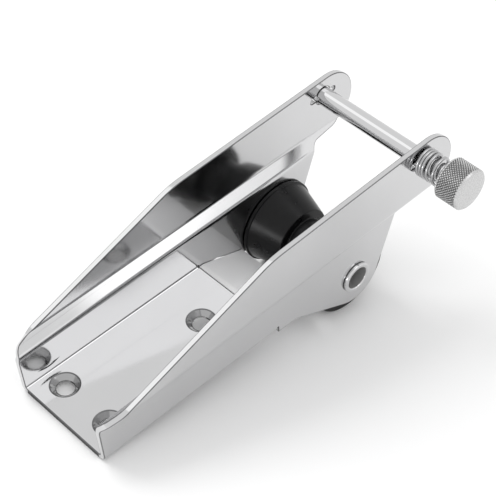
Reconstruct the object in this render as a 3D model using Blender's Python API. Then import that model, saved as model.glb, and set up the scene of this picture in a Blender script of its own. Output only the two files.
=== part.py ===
"""Stainless anchor bow roller with a sprung retaining pin, built from named sizes in metres.

+X runs forward over the bow, +Y is port and +Z is up. The origin is the middle of the
underside of the base plate, which is bolted down to the deck.
"""

import math

import bmesh
import bpy
from mathutils import Matrix, Vector

MM = 0.001
GAP = 0.3 * MM

# Channel sheet and base plate
SHEET = 3.0 * MM
BEND_RADIUS = 1.2 * MM
BASE_LENGTH = 110.0 * MM
BASE_WIDTH = 60.0 * MM

# Joggle that sets the upper side panels outwards
FOLD_HEIGHT = 23.1 * MM
FOLD_SLOPE = math.radians(1.0)
JOGGLE_RISE = 5.4 * MM
JOGGLE_OUT = 5.3 * MM

# Side outline. Reaches run forward from the front edge of the base
REAR_LEAN = 1.2 * MM
REAR_HEIGHT = 26.0 * MM
REAR_RADIUS = 7.0 * MM
PEAK_SETBACK = 8.4 * MM
PEAK_HEIGHT = 60.4 * MM
PEAK_RADIUS = 50.0 * MM
TIP_REACH = 97.5 * MM
TIP_HEIGHT = 47.9 * MM
TIP_RADIUS = 17.3 * MM
NOTCH_REACH = 83.4 * MM
NOTCH_HEIGHT = 29.3 * MM
NOTCH_RADIUS = 7.0 * MM
EAR_FOOT_REACH = 12.3 * MM
EAR_RADIUS = 16.8 * MM
AXLE_REACH = 54.0 * MM
AXLE_HEIGHT = -1.7 * MM

# Countersunk deck bolt holes
BOLT_HOLE = 9.0 * MM
COUNTERSINK = 14.6 * MM
REAR_HOLE_INSET = 14.5 * MM
REAR_HOLE_SPACING = 31.5 * MM
FRONT_HOLE_SETBACK = 23.1 * MM
RELIEF_WIDTH = 1.8 * MM

# Welded apron between base and roller
APRON_LEVEL = 3.0 * MM
APRON_SLOPE = math.radians(18.8)
APRON_BEND = 2.0 * MM
APRON_CLEARANCE = 1.6 * MM

# Roller
ROLLER_RADIUS = 23.2 * MM
RIM_WIDTH = 1.6 * MM
RIM_GROOVE = 0.9 * MM
CONE_SMALL_RADIUS = 16.8 * MM
NECK_RADIUS = 12.0 * MM
NECK_LENGTH = 14.4 * MM
ROLLER_END_GAP = 0.4 * MM

# Hollow axle, its bearing sleeve and its port collar
AXLE_BORE = 12.4 * MM
AXLE_DIAMETER = 15.0 * MM
AXLE_LIP = 1.2 * MM
AXLE_LIP_THICKNESS = 1.5 * MM
SLEEVE_WALL = 1.2 * MM
COLLAR_THICKNESS = 2.0 * MM

# Retaining pin
PIN_REACH = 93.4 * MM
PIN_HEIGHT = 55.4 * MM
PIN_DIAMETER = 9.6 * MM
PIN_HOLE_CLEARANCE = 0.4 * MM
CROSS_PIN_DIAMETER = 2.5 * MM
CROSS_PIN_LENGTH = 11.5 * MM
SLOT_CLEARANCE = 3.05 * MM
PIN_OVERHANG = 0.8 * MM
PIN_CHAMFER = 1.0 * MM

# Knob, and the spring between it and the starboard arm
KNOB_STANDOFF = 16.4 * MM
KNOB_LENGTH = 13.6 * MM
KNOB_RADIUS = 11.1 * MM
KNOB_CHAMFER = 1.0 * MM
KNOB_BORE_DEPTH = 9.5 * MM
ROLL_PIN_DIAMETER = 2.5 * MM
ROLL_PIN_LENGTH = 18.0 * MM
SEAT_THICKNESS = 1.2 * MM
SEAT_RADIUS = 7.9 * MM
SPRING_WIRE = 1.6 * MM
SPRING_OUTER_RADIUS = 7.7 * MM
CLOSE_TURNS = 2.5
OPEN_TURNS = 2.5

ROUND_STEPS = 64
SMALL_STEPS = 40
MARGIN = 6.0 * MM
CORNER_OVERRUN = 0.03 * MM

# Planes and axes that several pieces share
REAR_X = -BASE_LENGTH / 2
FRONT_X = BASE_LENGTH / 2
AXLE_X = FRONT_X + AXLE_REACH
PIN_X = FRONT_X + PIN_REACH
OUTER_Y = BASE_WIDTH / 2
INNER_Y = OUTER_Y - SHEET
ARM_OUTER_Y = OUTER_Y + JOGGLE_OUT
ARM_INNER_Y = INNER_Y + JOGGLE_OUT
KNOB_BACK_Y = -ARM_OUTER_Y - KNOB_STANDOFF
CROSS_PIN_Y = ARM_OUTER_Y + GAP + CROSS_PIN_DIAMETER / 2
SEAT_BACK_Y = KNOB_BACK_Y + GAP
SEAT_FRONT_Y = SEAT_BACK_Y + SEAT_THICKNESS
RIM_LOW = Vector((FRONT_X + EAR_FOOT_REACH, 0))
AXLE_CENTRE = Vector((AXLE_X, AXLE_HEIGHT))


def clear_scene():
    for obj in list(bpy.data.objects):
        bpy.data.objects.remove(obj, do_unlink=True)


def new_collection(name):
    collection = bpy.data.collections.new(name)
    bpy.context.scene.collection.children.link(collection)
    return collection


def material(name, color, metallic, roughness):
    made = bpy.data.materials.new(name)
    made.use_nodes = True
    shader = made.node_tree.nodes["Principled BSDF"]
    shader.inputs["Base Color"].default_value = (*color, 1)
    shader.inputs["Metallic"].default_value = metallic
    shader.inputs["Roughness"].default_value = roughness
    return made


def arc(centre, radius, start, end, steps):
    """Points on a circle from one angle to another, both ends included."""
    angles = [start + (end - start) * i / steps for i in range(steps + 1)]
    return [Vector((centre[0] + radius * math.cos(a), centre[1] + radius * math.sin(a))) for a in angles]


def tangent_angle(point, centre, radius, side):
    """Angle round the circle where the tangent from an outside point touches it."""
    offset = Vector(point) - Vector(centre)
    return math.atan2(offset.y, offset.x) + side * math.acos(radius / offset.length)


def rounded(corners, steps=6):
    """A closed outline from (point, radius) corners, each cut back to an arc of its radius."""
    outline = []
    for i, (point, radius) in enumerate(corners):
        point = Vector(point)
        before = (Vector(corners[i - 1][0]) - point).normalized()
        after = (Vector(corners[(i + 1) % len(corners)][0]) - point).normalized()
        if not radius:
            outline.append(point)
            continue
        half = before.angle(after) / 2
        centre = point + (before + after).normalized() * radius / math.sin(half)
        start = point + before * radius / math.tan(half) - centre
        turn = start.angle_signed(point + after * radius / math.tan(half) - centre)
        first = math.atan2(start.y, start.x)
        outline.extend(arc(centre, radius, first, first - turn, steps))
    return [p for i, p in enumerate(outline) if (p - outline[i - 1]).length > 0.001 * MM]


def mesh_object(name, mesh, collection):
    obj = bpy.data.objects.new(name, mesh)
    collection.objects.link(obj)
    if collection is CUTTERS:
        obj.hide_render = True
        obj.display_type = "WIRE"
    return obj


def prism(name, outline, plane, low, high, collection):
    """Extrudes a flat outline drawn in the XY, XZ or YZ plane along the third axis."""
    place = {
        "XY": lambda u, v, w: (u, v, w),
        "XZ": lambda u, v, w: (u, w, v),
        "YZ": lambda u, v, w: (w, u, v),
    }[plane]
    shape = bmesh.new()
    face = shape.faces.new([shape.verts.new(place(u, v, low)) for u, v in outline])
    made = bmesh.ops.extrude_face_region(shape, geom=[face])
    moved = [item for item in made["geom"] if isinstance(item, bmesh.types.BMVert)]
    bmesh.ops.translate(shape, verts=moved, vec=place(0, 0, high - low))
    bmesh.ops.recalc_face_normals(shape, faces=shape.faces)
    mesh = bpy.data.meshes.new(name)
    shape.to_mesh(mesh)
    shape.free()
    return mesh_object(name, mesh, collection)


def turned(name, profile, centre, axis, collection, steps=ROUND_STEPS):
    """Spins a closed profile of (radius, place along the axis) points round an axis through centre."""
    across = Vector((1, 0, 0)) if axis != "X" else Vector((0, 0, 1))
    along = {"X": Vector((1, 0, 0)), "Y": Vector((0, 1, 0)), "Z": Vector((0, 0, 1))}[axis]
    centre = Vector(centre)
    shape = bmesh.new()
    points = [shape.verts.new(centre + across * r + along * s) for r, s in profile]
    edges = [shape.edges.new(pair) for pair in zip(points, points[1:])]
    if profile[0][0] > 0:
        edges.append(shape.edges.new((points[-1], points[0])))
    bmesh.ops.spin(
        shape, geom=points + edges, cent=centre, axis=along, angle=math.tau, steps=steps, use_merge=True
    )
    bmesh.ops.remove_doubles(shape, verts=shape.verts, dist=0.001 * MM)
    bmesh.ops.recalc_face_normals(shape, faces=shape.faces)
    mesh = bpy.data.meshes.new(name)
    shape.to_mesh(mesh)
    shape.free()
    return mesh_object(name, mesh, collection)


def rod(name, radius, low, high, centre, axis, collection, chamfer=0.0, steps=SMALL_STEPS):
    """A solid round bar between two places along its axis, with optional end chamfers."""
    profile = [(0, high), (radius - chamfer, high), (radius, high - chamfer)]
    profile += [(radius, low + chamfer), (radius - chamfer, low), (0, low)]
    return turned(name, [p for i, p in enumerate(profile) if p not in profile[:i]], centre, axis,
                  collection, steps)


def combine(target, other, operation):
    modifier = target.modifiers.new(operation.title() + " " + other.name, "BOOLEAN")
    modifier.operation = operation
    modifier.solver = "EXACT"
    modifier.object = other


def bake(obj):
    """Turns the modifiers of an object into its mesh."""
    graph = bpy.context.evaluated_depsgraph_get()
    mesh = bpy.data.meshes.new_from_object(obj.evaluated_get(graph))
    obj.modifiers.clear()
    obj.data = mesh
    mesh.name = obj.name


def finish(obj, surface, pivot=(0, 0, 0)):
    """Bakes the solid, puts its origin on its pivot, and gives it its material and shading."""
    if obj.modifiers:
        bake(obj)
    obj.data.transform(Matrix.Translation(-Vector(pivot)))
    obj.location = pivot
    obj.data.materials.clear()
    obj.data.materials.append(surface)
    obj.data.shade_smooth()
    obj.data.set_sharp_from_angle(angle=math.radians(32))
    return obj


def side_outline():
    """Outline of a side wall seen from starboard, with x forward and z up."""
    notch = Vector((FRONT_X + NOTCH_REACH, NOTCH_HEIGHT))
    tip = Vector((FRONT_X + TIP_REACH, TIP_HEIGHT))
    peak = Vector((FRONT_X - PEAK_SETBACK, PEAK_HEIGHT))
    ear_start = tangent_angle(RIM_LOW, AXLE_CENTRE, EAR_RADIUS, 1) - math.tau
    ear_end = tangent_angle(notch, AXLE_CENTRE, EAR_RADIUS, -1)
    tip_start = tangent_angle(notch, tip, TIP_RADIUS, 1)
    tip_end = tangent_angle(peak, tip, TIP_RADIUS, -1)
    corners = [(Vector((REAR_X, 0)), 0), (RIM_LOW, 0)]
    corners += [(p, 0) for p in arc(AXLE_CENTRE, EAR_RADIUS, ear_start, ear_end, 16)]
    corners += [(notch, NOTCH_RADIUS)]
    corners += [(p, 0) for p in arc(tip, TIP_RADIUS, tip_start, tip_end, 28)]
    corners += [(peak, PEAK_RADIUS), (Vector((REAR_X - REAR_LEAN, REAR_HEIGHT)), REAR_RADIUS)]
    return rounded(corners, 8)


def wall_section(side):
    """Section of a side wall in y and z: upright, joggled outwards, then upright again."""
    top = PEAK_HEIGHT + TIP_RADIUS + MARGIN
    bottom = AXLE_HEIGHT - EAR_RADIUS - MARGIN
    angle = math.atan2(JOGGLE_OUT, JOGGLE_RISE)
    step = SHEET * math.tan(angle / 2)
    concave = BEND_RADIUS
    convex = BEND_RADIUS + SHEET
    corners = [
        ((OUTER_Y, bottom), 0),
        ((OUTER_Y, FOLD_HEIGHT), concave),
        ((ARM_OUTER_Y, FOLD_HEIGHT + JOGGLE_RISE), convex),
        ((ARM_OUTER_Y, top), 0),
        ((ARM_INNER_Y, top), 0),
        ((ARM_INNER_Y, FOLD_HEIGHT + JOGGLE_RISE + step), concave),
        ((INNER_Y, FOLD_HEIGHT + step), convex),
        ((INNER_Y, bottom), 0),
    ]
    return [Vector((side * p.x, p.y)) for p in rounded(corners, 4)]


def wall_strip(name, side):
    low = REAR_X - REAR_LEAN - MARGIN
    high = FRONT_X + TIP_REACH + TIP_RADIUS + MARGIN
    strip = prism(name, wall_section(side), "YZ", low, high, CUTTERS if side < 0 else PARTS)
    rise = Matrix.Identity(4)
    rise[2][0] = math.tan(FOLD_SLOPE)
    rise[2][3] = -REAR_X * math.tan(FOLD_SLOPE)
    strip.data.transform(rise)
    return strip


def base_section():
    """Section of the base plate, which runs into the middle of each wall with a small inside bend."""
    right = arc((INNER_Y - BEND_RADIUS, SHEET + BEND_RADIUS), BEND_RADIUS, -math.pi / 2, 0, 4)
    right += [Vector((INNER_Y + SHEET / 2, SHEET + 1.6 * BEND_RADIUS))]
    left = [Vector((-p.x, p.y)) for p in reversed(right)]
    middle = INNER_Y + SHEET / 2
    return left + right + [Vector((middle, -MARGIN)), Vector((-middle, -MARGIN))]


def corner_section(side):
    """What the outside of the base bend loses: a square corner less a quarter circle."""
    radius = BEND_RADIUS + SHEET
    inset = radius - CORNER_OVERRUN
    curve = arc((OUTER_Y - inset, inset), radius, -math.pi / 2, 0, 8)
    square = [Vector((OUTER_Y + MARGIN, radius)), Vector((OUTER_Y + MARGIN, -MARGIN))]
    square += [Vector((OUTER_Y - radius, -MARGIN))]
    return [Vector((side * p.x, p.y)) for p in curve + square]


def bolt_cutter(name, x, y):
    """Clearance hole with a countersink that opens at the top of the base plate."""
    depth = (COUNTERSINK - BOLT_HOLE) / 2
    profile = [
        (0, SHEET + MARGIN),
        (COUNTERSINK / 2 + MARGIN, SHEET + MARGIN),
        (BOLT_HOLE / 2, SHEET - depth),
        (BOLT_HOLE / 2, -MARGIN),
        (0, -MARGIN),
    ]
    return turned(name, profile, (x, y, 0), "Z", CUTTERS, 48)


def cut_keyholes(body):
    """Pin holes in both arms, slotted fore and aft so that the cross pin can be drawn through."""
    hole = PIN_DIAMETER / 2 + PIN_HOLE_CLEARANCE
    reach = ARM_OUTER_Y + MARGIN
    centre = (PIN_X, 0, PIN_HEIGHT)
    combine(body, rod("pin_hole", hole, -reach, reach, centre, "Y", CUTTERS, steps=48), "DIFFERENCE")
    half = CROSS_PIN_LENGTH / 2 + SLOT_CLEARANCE
    width = CROSS_PIN_DIAMETER / 2 + PIN_HOLE_CLEARANCE
    corners = [((PIN_X - half, PIN_HEIGHT - width), width), ((PIN_X + half, PIN_HEIGHT - width), width)]
    corners += [((PIN_X + half, PIN_HEIGHT + width), width), ((PIN_X - half, PIN_HEIGHT + width), width)]
    slot = prism("pin_slot", rounded(corners, 5), "XZ", -reach, reach, CUTTERS)
    combine(body, slot, "DIFFERENCE")


def channel_body(surface):
    """One bent sheet: base plate, both side walls with their joggle, arms and roller ears."""
    body = wall_strip("channel_body", 1)
    combine(body, wall_strip("starboard_wall", -1), "UNION")
    slab = prism("base_slab", base_section(), "YZ", REAR_X - MARGIN, FRONT_X, CUTTERS)
    combine(body, slab, "UNION")
    reach = ARM_OUTER_Y + MARGIN
    outline = prism("side_outline", side_outline(), "XZ", -reach, reach, CUTTERS)
    combine(body, outline, "INTERSECT")
    for side, name in ((1, "port_bend"), (-1, "starboard_bend")):
        bend = prism(name, corner_section(side), "YZ", REAR_X - MARGIN, FRONT_X + RELIEF_WIDTH / 2, CUTTERS)
        combine(body, bend, "DIFFERENCE")
        outer = side * (INNER_Y - BEND_RADIUS / 2)
        inner = outer - side * RELIEF_WIDTH
        notch = [(FRONT_X - RELIEF_WIDTH, outer), (FRONT_X + MARGIN, outer)]
        notch += [(FRONT_X + MARGIN, inner), (FRONT_X - RELIEF_WIDTH, inner)]
        relief = prism(name + "_relief", notch, "XY", -MARGIN, SHEET + MARGIN, CUTTERS)
        combine(body, relief, "DIFFERENCE")
    rear = REAR_X + REAR_HOLE_INSET
    combine(body, bolt_cutter("bolt_port", rear, REAR_HOLE_SPACING / 2), "DIFFERENCE")
    combine(body, bolt_cutter("bolt_starboard", rear, -REAR_HOLE_SPACING / 2), "DIFFERENCE")
    combine(body, bolt_cutter("bolt_front", FRONT_X - FRONT_HOLE_SETBACK, 0), "DIFFERENCE")
    axle = (AXLE_X, 0, AXLE_HEIGHT)
    hole = AXLE_DIAMETER / 2 + GAP
    combine(body, rod("axle_hole", hole, -reach, reach, axle, "Y", CUTTERS, steps=48), "DIFFERENCE")
    cut_keyholes(body)
    return finish(body, surface)


def apron_plate(surface):
    """Bent plate that carries the chain from the base down to the roller."""
    start = Vector((FRONT_X + GAP, SHEET))
    bend = Vector((FRONT_X + APRON_LEVEL, SHEET))
    down = Vector((math.cos(APRON_SLOPE), -math.sin(APRON_SLOPE)))
    across = Vector((-down.y, down.x))
    to_axle = AXLE_CENTRE - bend
    reach = ROLLER_RADIUS + APRON_CLEARANCE
    length = to_axle.dot(down) - math.sqrt(reach**2 - to_axle.dot(across) ** 2)
    end = bend + down * length
    under = bend + Vector((-math.tan(APRON_SLOPE / 2), -1)) * SHEET
    corners = [(start, 0), (bend, APRON_BEND + SHEET), (end, 0), (end - across * SHEET, 0)]
    corners += [(under, APRON_BEND), (start - Vector((0, SHEET)), 0)]
    width = INNER_Y - GAP
    plate = prism("apron_plate", rounded(corners, 6), "XZ", -width, width, PARTS)
    return finish(plate, surface)


def roller_profile():
    """Half the roller from its starboard rim to its port rim, with the bore as the inside."""
    end = INNER_Y - ROLLER_END_GAP
    rim = end - RIM_WIDTH
    groove = RIM_GROOVE
    half_neck = NECK_LENGTH / 2
    soft = 0.5 * MM
    side = [
        (ROLLER_RADIUS - soft, end),
        (ROLLER_RADIUS, end - soft),
        (ROLLER_RADIUS, rim + soft / 2),
        (ROLLER_RADIUS - soft / 2, rim),
        (ROLLER_RADIUS - groove, rim - soft / 2),
        (ROLLER_RADIUS - groove, rim - groove),
        (CONE_SMALL_RADIUS + soft / 3, half_neck + soft),
        (CONE_SMALL_RADIUS - soft, half_neck),
        (NECK_RADIUS + soft, half_neck),
        (NECK_RADIUS, half_neck - soft),
    ]
    bore = AXLE_DIAMETER / 2 + SLEEVE_WALL + 2 * GAP
    return [(bore, end)] + side + [(r, -s) for r, s in reversed(side)] + [(bore, -end)]


def roller(surface):
    axle = (AXLE_X, 0, AXLE_HEIGHT)
    return finish(turned("roller", roller_profile(), axle, "Y", PARTS), surface, axle)


def tube_profile(inner, outer, low, high):
    return [(inner, high), (outer, high), (outer, low), (inner, low)]


def roller_sleeve(surface):
    """Plastic bearing sleeve pressed into the roller bore."""
    axle = (AXLE_X, 0, AXLE_HEIGHT)
    inner = AXLE_DIAMETER / 2 + GAP
    half = INNER_Y - ROLLER_END_GAP
    profile = tube_profile(inner, inner + SLEEVE_WALL, -half, half)
    return finish(turned("roller_sleeve", profile, axle, "Y", PARTS), surface, axle)


def axle_tube(surface):
    """Hollow axle with its lip rolled over the starboard ear."""
    axle = (AXLE_X, 0, AXLE_HEIGHT)
    outer = AXLE_DIAMETER / 2
    bore = AXLE_BORE / 2
    seat = -OUTER_Y - GAP
    head = seat - AXLE_LIP_THICKNESS
    lip = outer + AXLE_LIP
    soft = 0.5 * MM
    end = OUTER_Y + GAP + COLLAR_THICKNESS
    profile = [(bore, end), (outer, end), (outer, seat), (lip, seat), (lip, head + soft)]
    profile += [(lip - soft, head), (bore + soft, head), (bore, head + soft)]
    return finish(turned("axle_tube", profile, axle, "Y", PARTS), surface)


def axle_collar(surface):
    """Ring that holds the port end of the hollow axle."""
    axle = (AXLE_X, 0, AXLE_HEIGHT)
    inner = AXLE_DIAMETER / 2 + GAP
    outer = AXLE_DIAMETER / 2 + AXLE_LIP + GAP
    low = OUTER_Y + GAP
    profile = tube_profile(inner, outer, low, low + COLLAR_THICKNESS)
    return finish(turned("axle_collar", profile, axle, "Y", PARTS), surface)


def pin_axis():
    return (PIN_X, 0, PIN_HEIGHT)


def roll_pin_y():
    return KNOB_BACK_Y - KNOB_BORE_DEPTH / 2


def pin_rod(surface):
    """Round bar across both arms, drilled for the cross pin and for the knob's roll pin."""
    low = KNOB_BACK_Y - KNOB_BORE_DEPTH + GAP
    high = CROSS_PIN_Y + CROSS_PIN_DIAMETER / 2 + PIN_OVERHANG
    bar = rod("pin_rod", PIN_DIAMETER / 2, low, high, pin_axis(), "Y", PARTS, PIN_CHAMFER)
    for name, y, radius in (
        ("cross_pin_hole", CROSS_PIN_Y, CROSS_PIN_DIAMETER / 2 + GAP),
        ("roll_pin_hole", roll_pin_y(), ROLL_PIN_DIAMETER / 2 + GAP),
    ):
        place = (PIN_X, y, PIN_HEIGHT)
        reach = KNOB_RADIUS + MARGIN
        combine(bar, rod(name, radius, -reach, reach, place, "Z", CUTTERS, steps=24), "DIFFERENCE")
    return finish(bar, surface, pin_axis())


def cross_pin(surface):
    """Short pin through the end of the bar that locks it behind the port arm."""
    half = CROSS_PIN_LENGTH / 2
    place = (PIN_X, CROSS_PIN_Y, PIN_HEIGHT)
    pin = rod("cross_pin", CROSS_PIN_DIAMETER / 2, -half, half, place, "Z", PARTS, 0.4 * MM, 24)
    return finish(pin, surface, pin_axis())


def pin_knob(surface):
    """Round knurled knob, bored from the back for the bar and cross drilled for the roll pin."""
    back = KNOB_BACK_Y
    end = back - KNOB_LENGTH
    bore = PIN_DIAMETER / 2 + GAP
    chamfer = KNOB_CHAMFER
    depth = back - KNOB_BORE_DEPTH
    profile = [(0, depth), (bore, depth), (bore, back), (KNOB_RADIUS - chamfer, back)]
    profile += [(KNOB_RADIUS, back - chamfer), (KNOB_RADIUS, end + chamfer)]
    profile += [(KNOB_RADIUS - chamfer, end), (0, end)]
    knob = turned("pin_knob", profile, pin_axis(), "Y", PARTS)
    place = (PIN_X, roll_pin_y(), PIN_HEIGHT)
    reach = KNOB_RADIUS + MARGIN
    radius = ROLL_PIN_DIAMETER / 2 + GAP
    hole = rod("knob_roll_pin_hole", radius, -reach, reach, place, "Z", CUTTERS, steps=24)
    combine(knob, hole, "DIFFERENCE")
    return finish(knob, surface, pin_axis())


def knob_roll_pin(surface):
    """Slotted spring pin that ties the knob to the bar."""
    half = ROLL_PIN_LENGTH / 2
    place = (PIN_X, roll_pin_y(), PIN_HEIGHT)
    pin = rod("knob_roll_pin", ROLL_PIN_DIAMETER / 2, -half, half, place, "Z", PARTS, 0.3 * MM, 24)
    return finish(pin, surface, pin_axis())


def spring_seat(surface):
    """Washer under the knob, so that the knob turns without winding the spring."""
    inner = PIN_DIAMETER / 2 + GAP
    profile = tube_profile(inner, SEAT_RADIUS, SEAT_BACK_Y, SEAT_FRONT_Y)
    return finish(turned("spring_seat", profile, pin_axis(), "Y", PARTS), surface, pin_axis())


def pin_spring(surface):
    """Compression spring, close wound against the starboard arm and open towards the knob."""
    radius = SPRING_OUTER_RADIUS - SPRING_WIRE / 2
    start = -ARM_OUTER_Y - GAP - SPRING_WIRE / 2
    end = SEAT_FRONT_Y + GAP + SPRING_WIRE / 2
    close_pitch = SPRING_WIRE + GAP
    open_pitch = (start - end - CLOSE_TURNS * close_pitch) / OPEN_TURNS
    per_turn = 22
    count = round((CLOSE_TURNS + OPEN_TURNS) * per_turn)
    curve = bpy.data.curves.new("pin_spring", "CURVE")
    curve.dimensions = "3D"
    curve.bevel_depth = SPRING_WIRE / 2
    curve.bevel_resolution = 2
    curve.use_fill_caps = True
    spline = curve.splines.new("POLY")
    spline.points.add(count)
    for i, point in enumerate(spline.points):
        turn = i / per_turn
        close = min(turn, CLOSE_TURNS)
        y = start - close * close_pitch - (turn - close) * open_pitch
        angle = turn * math.tau
        point.co = (radius * math.cos(angle), y, radius * math.sin(angle), 1)
    helper = bpy.data.objects.new("pin_spring_curve", curve)
    CUTTERS.objects.link(helper)
    graph = bpy.context.evaluated_depsgraph_get()
    mesh = bpy.data.meshes.new_from_object(helper.evaluated_get(graph))
    bpy.data.objects.remove(helper, do_unlink=True)
    shape = bmesh.new()
    shape.from_mesh(mesh)
    bmesh.ops.remove_doubles(shape, verts=shape.verts, dist=0.001 * MM)
    bmesh.ops.recalc_face_normals(shape, faces=shape.faces)
    bmesh.ops.translate(shape, verts=shape.verts, vec=(PIN_X, 0, PIN_HEIGHT))
    shape.to_mesh(mesh)
    shape.free()
    mesh.name = "pin_spring"
    return finish(mesh_object("pin_spring", mesh, PARTS), surface, pin_axis())


clear_scene()
PARTS = new_collection("bow_roller")
CUTTERS = new_collection("cutters")

channel_body(material("polished_channel", (0.62, 0.62, 0.63), 1.0, 0.12))
apron_plate(material("polished_apron", (0.60, 0.60, 0.61), 1.0, 0.14))
roller(material("black_roller", (0.02, 0.02, 0.022), 0.0, 0.35))
roller_sleeve(material("sleeve_plastic", (0.75, 0.75, 0.72), 0.0, 0.45))
axle_tube(material("axle_steel", (0.65, 0.65, 0.66), 1.0, 0.12))
axle_collar(material("collar_steel", (0.65, 0.65, 0.66), 1.0, 0.15))
pin_rod(material("rod_steel", (0.66, 0.66, 0.67), 1.0, 0.1))
cross_pin(material("cross_pin_steel", (0.6, 0.6, 0.61), 1.0, 0.18))
pin_knob(material("knob_steel", (0.6, 0.6, 0.6), 1.0, 0.25))
knob_roll_pin(material("roll_pin_steel", (0.5, 0.5, 0.5), 1.0, 0.3))
spring_seat(material("seat_steel", (0.62, 0.62, 0.62), 1.0, 0.2))
pin_spring(material("spring_steel", (0.58, 0.58, 0.58), 1.0, 0.2))
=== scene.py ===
import math

import bmesh
import bpy
import numpy as np
from mathutils import Matrix, Vector


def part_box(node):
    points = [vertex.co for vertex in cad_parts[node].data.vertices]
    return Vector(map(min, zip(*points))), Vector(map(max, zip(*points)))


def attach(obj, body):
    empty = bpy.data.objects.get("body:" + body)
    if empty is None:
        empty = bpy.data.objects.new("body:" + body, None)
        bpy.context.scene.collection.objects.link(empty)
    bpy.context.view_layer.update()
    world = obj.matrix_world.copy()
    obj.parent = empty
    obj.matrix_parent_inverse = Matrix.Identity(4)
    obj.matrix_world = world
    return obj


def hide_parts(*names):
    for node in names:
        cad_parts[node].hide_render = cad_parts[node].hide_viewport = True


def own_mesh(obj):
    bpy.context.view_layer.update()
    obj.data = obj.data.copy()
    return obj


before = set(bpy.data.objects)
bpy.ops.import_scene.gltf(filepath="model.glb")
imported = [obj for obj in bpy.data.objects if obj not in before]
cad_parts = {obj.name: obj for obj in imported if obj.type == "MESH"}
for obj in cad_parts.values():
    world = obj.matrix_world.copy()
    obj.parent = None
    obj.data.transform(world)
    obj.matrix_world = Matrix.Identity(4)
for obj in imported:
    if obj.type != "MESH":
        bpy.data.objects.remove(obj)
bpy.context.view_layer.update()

MM = 0.001

# ---------------------------------------------------------------------------------------
# Channel: one piece of 3 mm stainless sheet, folded up into two side walls that step
# outwards at half height, with the cut edges broken on a wheel and the faces mirror
# polished. The apron is a second bent plate, welded in between the walls and dressed.
# ---------------------------------------------------------------------------------------


def soft_profile(corners, steps=5):
    """A path through (radius, place, softness) corners, each rounded by a quadratic curve
    that starts and ends at its softness from the corner."""
    path = []
    for i, (r, s, soft) in enumerate(corners):
        here = np.array((r, s), float)
        if soft == 0 or i in (0, len(corners) - 1):
            path.append(here)
            continue
        back = np.array(corners[i - 1][:2], float) - here
        on = np.array(corners[i + 1][:2], float) - here
        start = here + back / np.linalg.norm(back) * soft
        end = here + on / np.linalg.norm(on) * soft
        t = np.linspace(0, 1, steps + 1)[:, None]
        path.extend((1 - t) ** 2 * start + 2 * t * (1 - t) * here + t**2 * end)
    return np.array(path)


def grid_piece(name, points, closed_rows, closed_columns, smooth_angle=40):
    """A mesh from a grid of points (rows, columns, 3), closed round in either direction;
    points that fall together, as at a pole, are merged and the faces turned outwards."""
    rows, columns = points.shape[:2]
    r = np.arange(rows if closed_rows else rows - 1)[:, None]
    c = np.arange(columns if closed_columns else columns - 1)[None, :]
    r2, c2 = (r + 1) % rows, (c + 1) % columns
    quads = np.stack([r * columns + c, r * columns + c2, r2 * columns + c2, r2 * columns + c], -1)
    mesh = bpy.data.meshes.new(name)
    mesh.from_pydata(points.reshape(-1, 3).tolist(), [], quads.reshape(-1, 4).tolist())
    shape = bmesh.new()
    shape.from_mesh(mesh)
    bmesh.ops.remove_doubles(shape, verts=shape.verts, dist=0.0005 * MM)
    bmesh.ops.recalc_face_normals(shape, faces=shape.faces)
    shape.to_mesh(mesh)
    shape.free()
    mesh.shade_smooth()
    mesh.set_sharp_from_angle(angle=math.radians(smooth_angle))
    obj = bpy.data.objects.new(name, mesh)
    bpy.context.scene.collection.objects.link(obj)
    return obj


def turned_piece(name, profile, centre, steps=128, closed=True, smooth_angle=40):
    """Carries a profile of (radius, place along Y) round an axis: x and z are the centre
    plus the radius times the cosine and sine of the turn, and y is the place."""
    turn = np.arange(steps) / steps * math.tau
    x = centre[0] + profile[:, :1] * np.cos(turn)
    z = centre[2] + profile[:, :1] * np.sin(turn)
    y = np.broadcast_to(profile[:, 1:2], x.shape)
    return grid_piece(name, np.stack([x, y, z], -1), closed, True, smooth_angle)


sheet = 3.0 * MM
bend = 1.2 * MM
rear, seam = -55.0 * MM, 55.0 * MM
base_half = 30.0 * MM
fold_height, fold_slope = 23.1 * MM, math.tan(math.radians(1.0))
joggle_rise, joggle_out = 5.4 * MM, 5.3 * MM
relief = 0.5 * MM
ear, ear_radius = (seam + 54.0 * MM, -1.7 * MM), 16.8 * MM
tip, tip_radius = (seam + 97.5 * MM, 47.9 * MM), 17.3 * MM
notch, notch_radius = (seam + 83.4 * MM, 29.3 * MM), 7.0 * MM
peak, peak_radius = (seam - 8.4 * MM, 60.4 * MM), 50.0 * MM
rear_top, rear_radius = (rear - 1.2 * MM, 26.0 * MM), 7.0 * MM
ear_foot = (seam + 12.3 * MM, 0.0)

middle = bend + sheet / 2
turn = math.atan2(joggle_out, joggle_rise)
run_in = middle * math.tan(turn / 2)
straight = math.hypot(joggle_rise, joggle_out) - 2 * run_in
flat_half = base_half - sheet - bend
wall_start = flat_half + middle * math.pi / 2
wall_height = sheet + bend
fold_start = fold_height + sheet * math.tan(turn / 2) / 2 - run_in


def joggle(q):
    """How far the sheet has gone out and up, a distance q past the start of the joggle:
    a bend outwards, a straight, a bend back, then straight up."""
    first = np.clip(q / middle, 0, turn)
    second = np.clip((q - middle * turn - straight) / middle, 0, turn)
    slope = np.clip(q - middle * turn, 0, straight)
    after = np.maximum(q - 2 * middle * turn - straight, 0)
    out = middle * (1 - np.cos(first)) + slope * math.sin(turn)
    out = out + middle * (np.cos(turn - second) - math.cos(turn))
    up = np.minimum(q, 0) + middle * np.sin(first) + slope * math.cos(turn)
    up = up + middle * (math.sin(turn) - np.sin(turn - second)) + after
    return out, up


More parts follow.
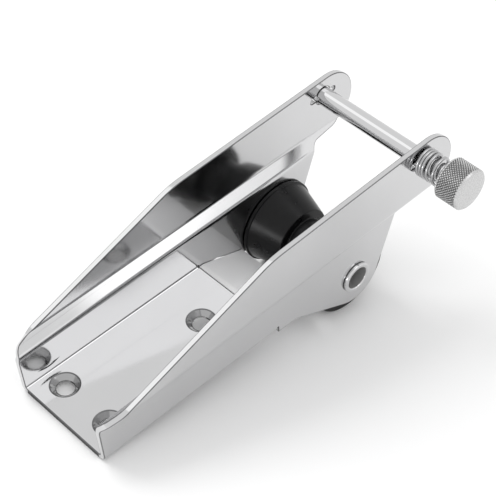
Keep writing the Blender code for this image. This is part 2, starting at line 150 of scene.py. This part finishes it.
def blank_place(x, z):
    """Where a point of the finished side outline lies across the flat blank: the joggle
    taken out of its height, counted from the centre line."""
    q = np.linspace(-0.08, 0.08, 20001)
    start = fold_start + fold_slope * (x - rear)
    return wall_start - wall_height + start + np.interp(z - start, joggle(q)[1], q)


def folded(s, t):
    """The blank folded up: flat base, a quarter bend, an upright wall, then the joggle.
    Forward of the seam the walls run straight down past the base as the roller's ears."""
    side = np.sign(t)
    t = np.abs(t)
    upright = wall_height + t - wall_start
    start = fold_start + fold_slope * (s - rear)
    out, up = joggle(np.maximum(upright - start, 0))
    y = base_half - sheet / 2 + out
    z = np.where(upright > start, start + up, upright)
    on_ear = (s > seam + 0.01 * MM) | ((s > seam - relief / 2) & (t > flat_half))
    angle = np.clip((t - flat_half) / middle, 0, math.pi / 2)
    low = (t < wall_start) & ~on_ear
    y = np.where(low, np.minimum(t, flat_half) + middle * np.sin(angle), y)
    z = np.where(low, sheet / 2 + middle * (1 - np.cos(angle)), z)
    return np.stack([s, side * y, z], -1)


def arc_points(centre, radius, start, end, count):
    """Points round a circle from one angle to another."""
    a = np.linspace(start, end, count)
    return np.stack([centre[0] + radius * np.cos(a), centre[1] + radius * np.sin(a)], -1)


def touch_angle(point, centre, radius, side):
    """Angle round a circle where the tangent from an outside point touches it."""
    dx, dy = point[0] - centre[0], point[1] - centre[1]
    return math.atan2(dy, dx) + side * math.acos(radius / math.hypot(dx, dy))


def eased_corner(before, corner, after, radius, count=10):
    """A corner cut back to an arc that touches both of its edges."""
    corner = np.array(corner)
    a = np.array(before) - corner
    b = np.array(after) - corner
    a, b = a / np.linalg.norm(a), b / np.linalg.norm(b)
    half = math.acos(float(a @ b)) / 2
    centre = corner + (a + b) / np.linalg.norm(a + b) * radius / math.sin(half)
    first = corner + a * radius / math.tan(half) - centre
    last = corner + b * radius / math.tan(half) - centre
    start = math.atan2(first[1], first[0])
    sweep = (math.atan2(last[1], last[0]) - start + math.pi) % math.tau - math.pi
    return arc_points(centre, radius, start, start + sweep, count)


def wall_outline():
    """The side wall's cut edge from the foot of the ear forward, round the tip and back
    to the rear edge: arcs joined by their common tangents."""
    from_foot = touch_angle(ear_foot, ear, ear_radius, 1) - math.tau
    ear_arc = arc_points(ear, ear_radius, from_foot, touch_angle(notch, ear, ear_radius, -1), 26)
    from_notch = touch_angle(notch, tip, tip_radius, 1)
    tip_arc = arc_points(tip, tip_radius, from_notch, touch_angle(peak, tip, tip_radius, -1), 44)
    return np.concatenate(
        [
            [ear_foot],
            ear_arc,
            eased_corner(ear_arc[-1], notch, tip_arc[0], notch_radius),
            tip_arc,
            eased_corner(tip_arc[-1], peak, rear_top, peak_radius),
            eased_corner(peak, rear_top, (rear, 0), rear_radius, 14),
            [(rear, wall_height)],
        ]
    )


def folded_channel():
    """The blank cut as one outline, creased along every bend line, folded, and given the
    thickness of the sheet half to each side."""
    edge = wall_outline()
    edge = np.stack([edge[:, 0], blank_place(edge[:, 0], edge[:, 1])], -1)
    foot = wall_start - wall_height
    inner = flat_half - relief
    cut = [(seam, inner), (seam - relief, inner), (seam - relief, wall_start)]
    cut += [(seam, wall_start), (seam, foot)]
    half = np.concatenate([cut, edge])
    outline = np.concatenate([half, (half * (1, -1))[::-1]])
    shape = bmesh.new()
    shape.faces.new([shape.verts.new((s, t, 0)) for s, t in outline.tolist()])
    steps = np.linspace(0, 1, 8)
    first = foot + fold_start
    second = first + middle * turn + straight
    creases = [(flat_half + middle * math.pi / 2 * k, 0) for k in steps]
    creases += [(start + middle * turn * k, fold_slope) for start in (first, second) for k in steps]
    for t, slope in creases:
        for side in (1, -1):
            bmesh.ops.bisect_plane(
                shape,
                geom=shape.verts[:] + shape.edges[:] + shape.faces[:],
                plane_co=(rear, side * t, 0),
                plane_no=(-side * slope, 1, 0),
                dist=0.0005 * MM,
            )
    # Creases that pass close to a point of the outline take that point.
    bmesh.ops.remove_doubles(shape, verts=shape.verts, dist=0.14 * MM)
    mesh = bpy.data.meshes.new("channel_shell")
    shape.to_mesh(mesh)
    shape.free()
    flat = np.empty(len(mesh.vertices) * 3, np.float32)
    mesh.vertices.foreach_get("co", flat)
    flat = flat.reshape(-1, 3).astype(float)
    mesh.vertices.foreach_set("co", folded(flat[:, 0], flat[:, 1]).astype(np.float32).ravel())
    obj = bpy.data.objects.new("channel_shell", mesh)
    bpy.context.scene.collection.objects.link(obj)
    thick = obj.modifiers.new("sheet", "SOLIDIFY")
    thick.thickness = sheet
    thick.offset = 0
    thick.use_even_offset = True
    return obj


def bake(obj):
    """Turns the modifiers of a piece into its mesh."""
    bpy.context.view_layer.update()
    done = bpy.data.meshes.new_from_object(obj.evaluated_get(bpy.context.evaluated_depsgraph_get()))
    obj.modifiers.clear()
    obj.data = done


def drill(obj, cutters):
    """Cuts each closed shape out of a piece, and takes the cutters away."""
    for cutter in cutters:
        cut = obj.modifiers.new(cutter.name, "BOOLEAN")
        cut.operation = "DIFFERENCE"
        cut.solver = "EXACT"
        cut.object = cutter
    bake(obj)
    for cutter in cutters:
        bpy.data.objects.remove(cutter)


def cutting_tool(name, radii, places, centre, axis, steps=64):
    """A closed round tool: radii at places along Y, or along Z where the axis says so."""
    tool = turned_piece(name, np.stack([radii, places], -1), (0, 0, 0), steps, False)
    if axis == "Z":
        tool.data.transform(Matrix.Rotation(math.radians(90), 4, "X"))
    tool.data.transform(Matrix.Translation(centre))
    return tool


def slot_tool(centre, half_length, radius, reach):
    """A slot through both arms: two half circles joined by straight sides."""
    ends = [
        arc_points((centre[0] + half_length - radius, centre[1]), radius, -math.pi / 2, math.pi / 2, 13),
        arc_points((centre[0] - half_length + radius, centre[1]), radius, math.pi / 2, 3 * math.pi / 2, 13),
    ]
    ring = np.concatenate(ends)
    side = [np.stack([ring[:, 0], np.full(len(ring), y), ring[:, 1]], -1) for y in (-reach, reach)]
    hub = [np.broadcast_to(np.array((centre[0], y, centre[1])), side[0].shape) for y in (-reach, reach)]
    return grid_piece("slot_tool", np.stack([hub[0], side[0], side[1], hub[1]]), False, True)


channel = folded_channel()
bake(channel)
bolt_radius, sink_radius, sink_depth = 4.5 * MM, 7.3 * MM, 2.8 * MM
rear_bolts, rear_bolt_half, front_bolt = rear + 14.5 * MM, 15.75 * MM, seam - 23.1 * MM
beyond = 5 * MM
below = -9 * MM
bolt = [0, bolt_radius, bolt_radius, sink_radius + beyond, 0]
depth = [below, below, sheet - sink_depth, sheet + beyond, sheet + beyond]
bolt_places = [(rear_bolts, rear_bolt_half, 0), (rear_bolts, -rear_bolt_half, 0), (front_bolt, 0, 0)]
tools = [cutting_tool("bolt_tool", bolt, depth, place, "Z") for place in bolt_places]
reach = 60 * MM
through = [-reach, -reach, reach, reach]
pin_hole = (seam + 93.4 * MM, 0, 55.4 * MM)
for name, radius, place in (
    ("axle_tool", 7.8 * MM, (ear[0], 0, ear[1])),
    ("pin_tool", 5.2 * MM, pin_hole),
):
    tools.append(cutting_tool(name, [0, radius, radius, 0], through, place, "Y"))
slot_half, slot_radius = 8.8 * MM, 1.65 * MM
tools.append(slot_tool((pin_hole[0], pin_hole[2]), slot_half, slot_radius, reach))
drill(channel, tools)


def rolled_edges(obj, width, segments, material=-1):
    """Breaks the sharp edges of a piece to a small radius, in one of its materials, and
    evens its shading."""
    obj.data.shade_smooth()
    roll = obj.modifiers.new("rolled edge", "BEVEL")
    roll.width = width
    roll.segments = segments
    roll.limit_method = "ANGLE"
    roll.angle_limit = math.radians(34)
    roll.use_clamp_overlap = False
    roll.material = material
    even = obj.modifiers.new("even shading", "WEIGHTED_NORMAL")
    even.mode = "FACE_AREA"
    even.weight = 100


def face_rows(obj, value):
    """One row of three numbers for each face of a piece: its centre or its normal."""
    found = np.empty(len(obj.data.polygons) * 3, np.float32)
    obj.data.polygons.foreach_get(value, found)
    return found.reshape(-1, 3)


def set_finishes(obj, finishes):
    """Gives each face of a piece the number of its material."""
    obj.data.polygons.foreach_set("material_index", finishes.astype(np.int32))


channel.data.materials.clear()
centres = face_rows(channel, "center")
facing = face_rows(channel, "normal")
# The rear cut face of the base is painted near black: painted shade in place of the dark stripe it shows.
rear_face_mask = (facing[:, 0] < -0.95) & (centres[:, 2] < sheet) & (np.abs(centres[:, 1]) < flat_half)
# The drilled hole walls and countersinks are painted darker than the faces round them: painted shade in the
# holes.
drilled = (centres[:, 2] > 0.1 * MM) & (centres[:, 2] < sheet - 0.05 * MM)
drilled &= (centres[:, 0] > rear + 1 * MM) & (centres[:, 0] < seam - 1 * MM)
drilled &= np.abs(centres[:, 1]) < flat_half - relief
set_finishes(channel, np.where(rear_face_mask, 2, np.where(drilled, 3, 0)))
# The rolled edges take material 1, a steel painted dark: a painted shade line along every edge of the
# channel.
rolled_edges(channel, 0.4 * MM, 3, 1)


def polished_steel(name, color, rough, ripple, grain):
    """Mirror stainless: buffing haze that drifts slowly over the face, fine wheel lines
    along one direction, and the faint waviness that rolled sheet keeps."""
    made = bpy.data.materials.new(name)
    made.use_nodes = True
    nodes, links = made.node_tree.nodes, made.node_tree.links
    shader = nodes["Principled BSDF"]
    shader.inputs["Metallic"].default_value = 1.0
    place = nodes.new("ShaderNodeTexCoord")
    haze = nodes.new("ShaderNodeTexNoise")
    haze.inputs["Scale"].default_value = 28.0
    haze.inputs["Detail"].default_value = 3.0
    links.new(place.outputs["Object"], haze.inputs["Vector"])
    tone = nodes.new("ShaderNodeValToRGB")
    tone.color_ramp.elements[0].position = 0.3
    tone.color_ramp.elements[0].color = (*[c * 0.97 for c in color], 1)
    tone.color_ramp.elements[1].position = 0.7
    tone.color_ramp.elements[1].color = (*color, 1)
    links.new(haze.outputs["Fac"], tone.inputs["Fac"])
    links.new(tone.outputs["Color"], shader.inputs["Base Color"])
    stretch = nodes.new("ShaderNodeMapping")
    stretch.inputs["Scale"].default_value = grain
    links.new(place.outputs["Object"], stretch.inputs["Vector"])
    lines = nodes.new("ShaderNodeTexNoise")
    lines.inputs["Scale"].default_value = 900.0
    lines.inputs["Detail"].default_value = 4.0
    links.new(stretch.outputs["Vector"], lines.inputs["Vector"])
    blend = nodes.new("ShaderNodeMath")
    blend.operation = "MULTIPLY_ADD"
    blend.inputs[1].default_value = 0.35
    links.new(lines.outputs["Fac"], blend.inputs[0])
    links.new(haze.outputs["Fac"], blend.inputs[2])
    span = nodes.new("ShaderNodeMapRange")
    span.inputs["From Min"].default_value = 0.35
    span.inputs["From Max"].default_value = 1.0
    span.inputs["To Min"].default_value = rough * 0.7
    span.inputs["To Max"].default_value = rough * 1.5
    links.new(blend.outputs["Value"], span.inputs["Value"])
    links.new(span.outputs["Result"], shader.inputs["Roughness"])
    wave = nodes.new("ShaderNodeTexNoise")
    wave.inputs["Scale"].default_value = 17.0
    wave.inputs["Detail"].default_value = 1.0
    links.new(place.outputs["Object"], wave.inputs["Vector"])
    swell = nodes.new("ShaderNodeBump")
    swell.inputs["Strength"].default_value = 1.0
    swell.inputs["Distance"].default_value = ripple
    links.new(wave.outputs["Fac"], swell.inputs["Height"])
    scratch = nodes.new("ShaderNodeBump")
    scratch.inputs["Strength"].default_value = 0.25
    scratch.inputs["Distance"].default_value = 0.000002
    links.new(lines.outputs["Fac"], scratch.inputs["Height"])
    links.new(swell.outputs["Normal"], scratch.inputs["Normal"])
    links.new(scratch.outputs["Normal"], shader.inputs["Normal"])
    return made


sheet_steel = polished_steel("polished_sheet", (0.64, 0.64, 0.645), 0.1, 0.00006, (0.06, 1.0, 1.0))


def merged_copy(node, name, edge, segments):
    """The CAD solid with its loose triangles joined, its flat faces made whole, and its
    sharp edges broken."""
    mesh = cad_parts[node].data.copy()
    mesh.name = name
    shape = bmesh.new()
    shape.from_mesh(mesh)
    bmesh.ops.remove_doubles(shape, verts=shape.verts, dist=0.002 * MM)
    bmesh.ops.dissolve_limit(shape, angle_limit=math.radians(0.3), verts=shape.verts, edges=shape.edges)
    shape.to_mesh(mesh)
    shape.free()
    mesh.materials.clear()
    obj = bpy.data.objects.new(name, mesh)
    bpy.context.scene.collection.objects.link(obj)
    rolled_edges(obj, edge, segments)
    return obj


# Dark steel for the rolled edges: painted shade, standing in for the dark line they reflect.
edge_shade_steel = polished_steel("edge_painted_shade", (0.17, 0.17, 0.173), 0.22, 0.00001, (1.0, 1.0, 1.0))
# Near black steel for the rear cut face: painted shade.
rear_face_shade_steel = polished_steel("rear_face_painted_shade", (0.035, 0.035, 0.037), 0.35, 0.00001, (1.0, 1.0, 1.0))
# Darker steel for the hole walls: painted shade.
hole_shade_steel = polished_steel("hole_wall_painted_shade", (0.4, 0.4, 0.403), 0.12, 0.00001, (1.0, 1.0, 1.0))
for finish in (sheet_steel, edge_shade_steel, rear_face_shade_steel, hole_shade_steel):
    channel.data.materials.append(finish)
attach(channel, "channel")
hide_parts("channel_body")

apron = merged_copy("apron_plate", "apron_shell", 0.25 * MM, 2)
# The apron's near-white, mostly diffuse colour paints light onto it, which keeps it pale where the roller
# shades it; its roughness gives the satin sheen.
apron_painted_light_steel = polished_steel("satin_sheet_painted_light", (0.97, 0.97, 0.975), 0.5, 0.00002, (0.06, 1.0, 1.0))
apron_painted_light_steel.node_tree.nodes["Principled BSDF"].inputs["Metallic"].default_value = 0.15
apron.data.materials.append(apron_painted_light_steel)
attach(apron, "channel")
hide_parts("apron_plate")

# ---------------------------------------------------------------------------------------
# Roller: moulded black rubber, two cones that meet in a plain neck, with a narrow rim and
# a turned groove at each end. A pale plastic sleeve lines the bore and runs on the axle.
# ---------------------------------------------------------------------------------------


low, high = (np.array(corner, float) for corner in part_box("roller"))
axle = (low + high) / 2
rim_radius = (high[2] - low[2]) / 2
end = high[1]
rim = end - 1.6 * MM
groove = rim_radius - 0.9 * MM
cone = rim_radius - 6.4 * MM
neck = 12.0 * MM
half_neck = 7.2 * MM
sleeve_low, sleeve_high = (np.array(corner, float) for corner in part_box("roller_sleeve"))
sleeve_radius = (sleeve_high[2] - sleeve_low[2]) / 2
bore = sleeve_radius + 0.3 * MM
half = [
    (bore, end, 0),
    (rim_radius, end, 0.5 * MM),
    (rim_radius, rim, 0.35 * MM),
    (groove, rim - 0.15 * MM, 0.25 * MM),
    (groove - 0.15 * MM, rim - 0.9 * MM, 0.3 * MM),
    (cone, half_neck, 0.6 * MM),
    (neck, half_neck, 0.7 * MM),
]
other = [(r, -s, soft) for r, s, soft in reversed(half)]
roller = turned_piece("roller_body", soft_profile(half + other), axle, 160)


def moulded_rubber(name):
    """Black rubber: slightly uneven sheen from handling, faint turning marks round the
    axis from the mould, and a fine bloom that varies at random."""
    made = bpy.data.materials.new(name)
    made.use_nodes = True
    nodes, links = made.node_tree.nodes, made.node_tree.links
    shader = nodes["Principled BSDF"]
    shader.inputs["Specular IOR Level"].default_value = 0.22
    place = nodes.new("ShaderNodeTexCoord")
    bloom = nodes.new("ShaderNodeTexNoise")
    bloom.inputs["Scale"].default_value = 120.0
    bloom.inputs["Detail"].default_value = 5.0
    links.new(place.outputs["Object"], bloom.inputs["Vector"])
    tone = nodes.new("ShaderNodeValToRGB")
    tone.color_ramp.elements[0].position = 0.35
    tone.color_ramp.elements[0].color = (0.004, 0.004, 0.0045, 1)
    tone.color_ramp.elements[1].position = 0.75
    tone.color_ramp.elements[1].color = (0.008, 0.008, 0.0085, 1)
    links.new(bloom.outputs["Fac"], tone.inputs["Fac"])
    links.new(tone.outputs["Color"], shader.inputs["Base Color"])
    span = nodes.new("ShaderNodeMapRange")
    span.inputs["To Min"].default_value = 0.22
    span.inputs["To Max"].default_value = 0.36
    links.new(bloom.outputs["Fac"], span.inputs["Value"])
    links.new(span.outputs["Result"], shader.inputs["Roughness"])
    rings = nodes.new("ShaderNodeTexWave")
    rings.bands_direction = "Y"
    rings.inputs["Scale"].default_value = 420.0
    rings.inputs["Distortion"].default_value = 0.6
    links.new(place.outputs["Object"], rings.inputs["Vector"])
    marks = nodes.new("ShaderNodeBump")
    marks.inputs["Strength"].default_value = 0.12
    marks.inputs["Distance"].default_value = 0.00001
    links.new(rings.outputs["Fac"], marks.inputs["Height"])
    links.new(marks.outputs["Normal"], shader.inputs["Normal"])
    return made


roller.data.materials.append(moulded_rubber("black_rubber"))
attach(roller, "roller_body")
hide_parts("roller")


def turned_plastic(name):
    """Pale turned plastic with a soft mottle."""
    made = bpy.data.materials.new(name)
    made.use_nodes = True
    nodes, links = made.node_tree.nodes, made.node_tree.links
    shader = nodes["Principled BSDF"]
    shader.inputs["Roughness"].default_value = 0.42
    place = nodes.new("ShaderNodeTexCoord")
    mottle = nodes.new("ShaderNodeTexNoise")
    mottle.inputs["Scale"].default_value = 200.0
    links.new(place.outputs["Object"], mottle.inputs["Vector"])
    tone = nodes.new("ShaderNodeValToRGB")
    tone.color_ramp.elements[0].color = (0.55, 0.55, 0.52, 1)
    tone.color_ramp.elements[1].color = (0.68, 0.68, 0.65, 1)
    links.new(mottle.outputs["Fac"], tone.inputs["Fac"])
    links.new(tone.outputs["Color"], shader.inputs["Base Color"])
    return made


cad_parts["roller_sleeve"].data.materials.clear()
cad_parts["roller_sleeve"].data.materials.append(turned_plastic("sleeve_plastic"))

# ---------------------------------------------------------------------------------------
# Axle: a thick stainless tube through both ears and the roller. Its starboard lip is
# rolled over into a bright ring, and a pressed ring closes the port end.
# ---------------------------------------------------------------------------------------

bar_steel = polished_steel("polished_bar", (0.66, 0.66, 0.665), 0.07, 0.00001, (1.0, 0.08, 1.0))

low, high = (np.array(corner, float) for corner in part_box("axle_tube"))
lip = (high[2] - low[2]) / 2
tube_radius = 7.5 * MM
tube_bore = 6.2 * MM
seat = low[1] + 1.5 * MM
tube = [
    (tube_bore, high[1], 0),
    (tube_radius, high[1], 0.3 * MM),
    (tube_radius, seat, 0.05 * MM),
    (lip, seat, 0.3 * MM),
    (lip, low[1], 1.0 * MM),
    (tube_bore, low[1], 0.9 * MM),
    (tube_bore, high[1] - 0.4 * MM, 0),
]
axle_tube = turned_piece("axle_tube_body", soft_profile(tube, 8), axle, 96)
axle_tube.data.materials.append(bar_steel)
# The bore is rougher and painted darker: painted shade inside the tube.
bore_shade_steel = polished_steel("bore_painted_shade", (0.34, 0.34, 0.34), 0.5, 0.00001, (1.0, 1.0, 1.0))
bore_shade_steel.node_tree.nodes["Principled BSDF"].inputs["Metallic"].default_value = 0.35
axle_tube.data.materials.append(bore_shade_steel)
spots = face_rows(axle_tube, "center")
set_finishes(axle_tube, np.hypot(spots[:, 0] - axle[0], spots[:, 2] - axle[2]) < tube_bore + 0.05 * MM)
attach(axle_tube, "channel")
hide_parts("axle_tube")

low, high = (np.array(corner, float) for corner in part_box("axle_collar"))
outer = (high[2] - low[2]) / 2
inner = tube_radius + 0.3 * MM
ring = [
    (inner, low[1], 0),
    (outer, low[1], 0.2 * MM),
    (outer, high[1], 0.6 * MM),
    (inner, high[1], 0.3 * MM),
    (inner, low[1] + 0.2 * MM, 0),
]
axle_ring = turned_piece("axle_ring", soft_profile(ring, 6), axle, 96)
axle_ring.data.materials.append(bar_steel)
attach(axle_ring, "channel")
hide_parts("axle_collar")

# ---------------------------------------------------------------------------------------
# Retaining pin: a polished round bar across the arms, with a short cross pin behind the
# port arm and a slotted spring pin that holds the knob on.
# ---------------------------------------------------------------------------------------

for node, name, edge in (
    ("pin_rod", "pin_bar", 0.2 * MM),
    ("cross_pin", "cross_pin_body", 0.15 * MM),
    ("knob_roll_pin", "knob_spring_pin", 0.12 * MM),
):
    piece = merged_copy(node, name, edge, 2)
    piece.data.materials.append(bar_steel)
    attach(piece, "pin")
    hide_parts(node)

# ---------------------------------------------------------------------------------------
# Knob: a turned stainless knob with a fine diamond knurl round its rim, plain chamfers and
# a smooth faced end.
# ---------------------------------------------------------------------------------------

low, high = (np.array(corner, float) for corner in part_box("pin_knob"))
pin = (low + high) / 2
knob_radius = (high[2] - low[2]) / 2
back, front = high[1], low[1]
knob_bore = 5.1 * MM
bore_end = back - 9.5 * MM
chamfer = 0.8 * MM
knurl_depth = 0.42 * MM
knurl_count = 44
knurl_pitch = 1.6 * MM
knurl_rows = 116


def knurled_knob():
    """The knob as a turned profile whose rim is pressed in by two crossing sets of
    grooves: each point drops by the depth times one less the lower of two triangle waves,
    which run along the two helices, with the tops cut flat."""
    rim_low = front + chamfer
    rim_high = back - chamfer
    band = np.linspace(rim_low, rim_high, knurl_rows)
    profile = [(0, front), (knob_radius * 0.5, front), (knob_radius - chamfer - 0.15 * MM, front)]
    profile += [(knob_radius - chamfer + 0.1 * MM, front + 0.05 * MM)]
    profile += [(knob_radius, y) for y in band]
    profile += [(knob_radius - chamfer, back), (knob_bore + 0.3 * MM, back)]
    profile += [(knob_bore, back - 0.3 * MM), (knob_bore, bore_end), (0, bore_end)]
    profile = np.array(profile)
    steps = knurl_count * 10
    turn = np.arange(steps) / steps * math.tau
    radius = np.repeat(profile[:, :1], steps, 1)
    place = np.repeat(profile[:, 1:2], steps, 1)
    along = place / knurl_pitch
    across = np.broadcast_to(turn * knurl_count / math.tau, place.shape)
    first = np.abs(2 * ((across + along) % 1) - 1)
    second = np.abs(2 * ((across - along) % 1) - 1)
    height = np.minimum(np.minimum(first, second) / 0.8, 1)
    edge = np.clip(np.minimum(place - rim_low, rim_high - place) / (0.5 * MM), 0, 1)
    on_rim = (radius > knob_radius - 1e-6) * edge
    radius = radius - knurl_depth * (1 - height) * on_rim
    x = pin[0] + radius * np.cos(turn)
    z = pin[2] + radius * np.sin(turn)
    return grid_piece("knurled_knob", np.stack([x, place, z], -1), False, True, 30)


knob = knurled_knob()


def knob_steel(name, bright):
    """Stainless bar stock with a fine grain, its colour scaled by bright: the full copy
    goes on the knurl tops and a darker copy paints shade into the grooves."""
    made = bpy.data.materials.new(name)
    made.use_nodes = True
    nodes, links = made.node_tree.nodes, made.node_tree.links
    shader = nodes["Principled BSDF"]
    shader.inputs["Metallic"].default_value = 1.0
    place = nodes.new("ShaderNodeTexCoord")
    speck = nodes.new("ShaderNodeTexNoise")
    speck.inputs["Scale"].default_value = 1500.0
    speck.inputs["Detail"].default_value = 3.0
    links.new(place.outputs["Object"], speck.inputs["Vector"])
    tone = nodes.new("ShaderNodeValToRGB")
    tone.color_ramp.elements[0].position = 0.3
    tone.color_ramp.elements[0].color = (0.48 * bright, 0.48 * bright, 0.48 * bright, 1)
    tone.color_ramp.elements[1].position = 0.65
    tone.color_ramp.elements[1].color = (0.68 * bright, 0.68 * bright, 0.68 * bright, 1)
    links.new(speck.outputs["Fac"], tone.inputs["Fac"])
    links.new(tone.outputs["Color"], shader.inputs["Base Color"])
    span = nodes.new("ShaderNodeMapRange")
    span.inputs["To Min"].default_value = 0.18
    span.inputs["To Max"].default_value = 0.34
    links.new(speck.outputs["Fac"], span.inputs["Value"])
    links.new(span.outputs["Result"], shader.inputs["Roughness"])
    grain = nodes.new("ShaderNodeBump")
    grain.inputs["Strength"].default_value = 0.2
    grain.inputs["Distance"].default_value = 0.00001
    links.new(speck.outputs["Fac"], grain.inputs["Height"])
    links.new(grain.outputs["Normal"], shader.inputs["Normal"])
    return made


# The second copy, at a third of the brightness, paints shade into the knurl grooves.
for name, bright in (("knurled_steel", 1.0), ("knurl_grooves_painted_shade", 0.32)):
    knob.data.materials.append(knob_steel(name, bright))
spots = face_rows(knob, "center")
out = np.hypot(spots[:, 0] - pin[0], spots[:, 2] - pin[2])
grooves = (out < knob_radius - 0.45 * knurl_depth) & (out > knob_radius * 0.8)
grooves &= (spots[:, 1] > front + chamfer) & (spots[:, 1] < back - chamfer)
set_finishes(knob, grooves)
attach(knob, "pin")
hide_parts("pin_knob")

# ---------------------------------------------------------------------------------------
# Spring and its washer: bright stainless wire wound close against the starboard arm and
# open towards the knob, where a thin washer lets the knob turn.
# ---------------------------------------------------------------------------------------

wire = 0.8 * MM
wire_sides = 16
low, high = (np.array(corner, float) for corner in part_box("pin_spring"))
coil_radius = (high[0] - low[0]) / 2 - wire


def wound_wire():
    """A round tube carried along a helix: the turn angle grows evenly, the place along Y
    moves by the close pitch for the first turns and by the open pitch after, and each
    ring of the tube lies in the plane square to the path."""
    close_turns, open_turns = 3.0, 2.0
    close_pitch = 2 * wire + 0.06 * MM
    start, stop = high[1] - wire, low[1] + wire
    open_pitch = (start - stop - close_turns * close_pitch) / open_turns
    t = np.linspace(0, close_turns + open_turns, 361)
    y = start - np.minimum(t, close_turns) * close_pitch - np.maximum(t - close_turns, 0) * open_pitch
    x = pin[0] + coil_radius * np.cos(t * math.tau)
    z = pin[2] + coil_radius * np.sin(t * math.tau)
    centre = np.stack([x, y, z], -1)
    way = np.gradient(centre, axis=0)
    way /= np.linalg.norm(way, axis=1)[:, None]
    out = np.stack([np.cos(t * math.tau), np.zeros_like(t), np.sin(t * math.tau)], -1)
    side = np.cross(way, out)
    side /= np.linalg.norm(side, axis=1)[:, None]
    a = np.arange(wire_sides) / wire_sides * math.tau
    ring = out[:, None] * np.cos(a)[None, :, None] + side[:, None] * np.sin(a)[None, :, None]
    tube = centre[:, None] + wire * ring
    first = np.repeat(centre[:1, None], wire_sides, 1)
    last = np.repeat(centre[-1:, None], wire_sides, 1)
    return grid_piece("wound_spring", np.concatenate([first, tube, last]), False, True, 50)


spring = wound_wire()
wire_steel = polished_steel("bright_wire", (0.48, 0.48, 0.485), 0.16, 0.000005, (1.0, 0.3, 1.0))
spring.data.materials.append(wire_steel)
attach(spring, "seat")
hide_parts("pin_spring")
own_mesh(spring)

washer = merged_copy("spring_seat", "spring_washer", 0.15 * MM, 2)
washer.data.materials.append(bar_steel)
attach(washer, "seat")
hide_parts("spring_seat")

# ---------------------------------------------------------------------------------------
# Studio: a plain pale floor that the fitting stands on by its rear edge and its roller,
# an even white surround, one soft box above, cards that the polished faces reflect, and a
# long lens from behind and above.
# ---------------------------------------------------------------------------------------

rear_edge = Vector((rear, 0, 0))
to_axle = Vector((axle[0], 0, axle[2])) - rear_edge
tilt = math.atan2(to_axle.z, to_axle.x) - math.asin(rim_radius / to_axle.length)
floor_mesh = bpy.data.meshes.new("floor")
# The floor stops a little way behind the fitting, so that a low view from there sees it.
ahead = 4.0
behind = 0.3
along = Vector((math.cos(tilt), 0, math.sin(tilt)))
corners = [
    rear_edge + along * a + Vector((0, b, 0))
    for a, b in ((-behind, -ahead), (ahead, -ahead), (ahead, ahead), (-behind, ahead))
]
floor_mesh.from_pydata([tuple(c) for c in corners], [], [(0, 1, 2, 3)])
floor = bpy.data.objects.new("floor", floor_mesh)
bpy.context.scene.collection.objects.link(floor)
paper = bpy.data.materials.new("pale_floor")
paper.use_nodes = True
paper.node_tree.nodes["Principled BSDF"].inputs["Base Color"].default_value = (0.92, 0.92, 0.92, 1)
paper.node_tree.nodes["Principled BSDF"].inputs["Roughness"].default_value = 0.8
paper.node_tree.nodes["Principled BSDF"].inputs["Specular IOR Level"].default_value = 0.2
floor_mesh.materials.append(paper)

world = bpy.data.worlds.new("white_studio")
bpy.context.scene.world = world
world.use_nodes = True
world.node_tree.nodes["Background"].inputs["Color"].default_value = (1, 1, 1, 1)
world.node_tree.nodes["Background"].inputs["Strength"].default_value = 0.95


def soft_box(name, place, target, width, height, power):
    """A rectangular area light that faces its target."""
    light = bpy.data.lights.new(name, "AREA")
    light.shape = "RECTANGLE"
    light.size = width
    light.size_y = height
    light.energy = power
    obj = bpy.data.objects.new(name, light)
    bpy.context.scene.collection.objects.link(obj)
    obj.location = place
    obj.rotation_euler = (Vector(target) - Vector(place)).to_track_quat("-Z", "Y").to_euler()
    return obj


key_box = soft_box("key_box", (-0.1, 0.9, 1.3), (0.05, 0, 0), 0.8, 0.8, 9)
key_box.visible_glossy = False
# The cards are there to be reflected, and light no dull surface.
for name, place, wide, tall, power in (
    ("high_card", (0.5, -0.44, 0.86), 0.75, 0.75, 1.5),
    ("low_card", (0.52, -0.9, 0.27), 0.75, 0.75, 0.4),
    ("top_card", (-0.1, 0.9, 1.3), 0.8, 0.8, 0.85),
    ("rear_card", (-0.75, -0.08, 0.16), 0.3, 0.2, 0.95),
):
    card = soft_box(name, place, (0.05, 0, 0.02), wide, tall, power)
    card.visible_diffuse = False

azimuth, elevation, roll = math.radians(-132.769), math.radians(46.552), math.radians(-1.556)
back = Vector(
    (math.cos(elevation) * math.cos(azimuth), math.cos(elevation) * math.sin(azimuth), math.sin(elevation))
)
level = Vector((0, 0, 1)).cross(back).normalized()
upright = back.cross(level)
right = level * math.cos(roll) + upright * math.sin(roll)
up = upright * math.cos(roll) - level * math.sin(roll)
lens = bpy.data.cameras.new("long_lens")
lens.lens = 113.64
lens.sensor_width = 36
lens.clip_end = 20
camera = bpy.data.objects.new("camera", lens)
bpy.context.scene.collection.objects.link(camera)
aim, distance = Vector((0.08175, 0.019136, 0.001075)), 0.800031
stand = aim + back * distance
camera.matrix_world = Matrix(
    (
        (right.x, up.x, back.x, stand.x),
        (right.y, up.y, back.y, stand.y),
        (right.z, up.z, back.z, stand.z),
        (0, 0, 0, 1),
    )
)
bpy.context.scene.camera = camera
bpy.context.scene.view_settings.view_transform = "Standard"
